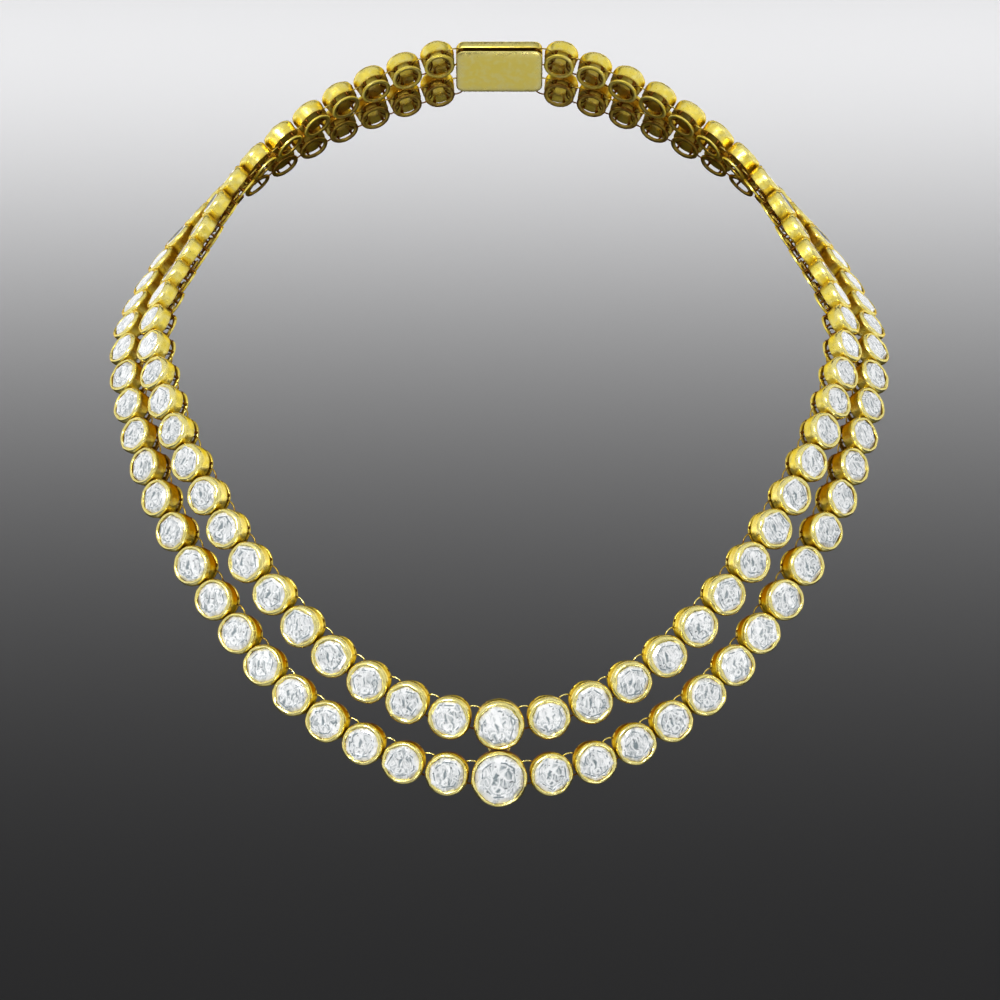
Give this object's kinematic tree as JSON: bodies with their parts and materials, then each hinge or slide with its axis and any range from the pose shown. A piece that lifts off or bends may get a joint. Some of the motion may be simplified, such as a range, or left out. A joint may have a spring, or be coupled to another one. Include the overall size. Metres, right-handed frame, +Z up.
{
  "type": "layered necklace",
  "caption": "Two-row gold necklace of round collets with uncut white stones on an open gallery, linked by wire loops, with a larger middle pair and one plain clasp.",
  "frame": {"origin": "middle of the clasp's neck side, where the necklace hangs on the nape", "axes": "+X to one side of the wearer, -Y the front of the wearer, +Z up; the necklace mirrors itself across the plane X = 0"},
  "size_m": [0.1516, 0.1221, 0.1247],
  "materials": {
    "gold": "hand-burnished polished yellow gold",
    "stone": "foil-backed uncut clear white stone, flat irregular facets"
  },
  "bodies": {
    "root": {"outer_settings": "gold", "outer_stones": "stone", "outer_centre_setting": "gold", "outer_centre_stone": "stone", "inner_settings": "gold", "inner_stones": "stone", "inner_centre_setting": "gold", "inner_centre_stone": "stone", "centre_ring": "gold", "clasp": "gold"}
  },
  "joints": []
}
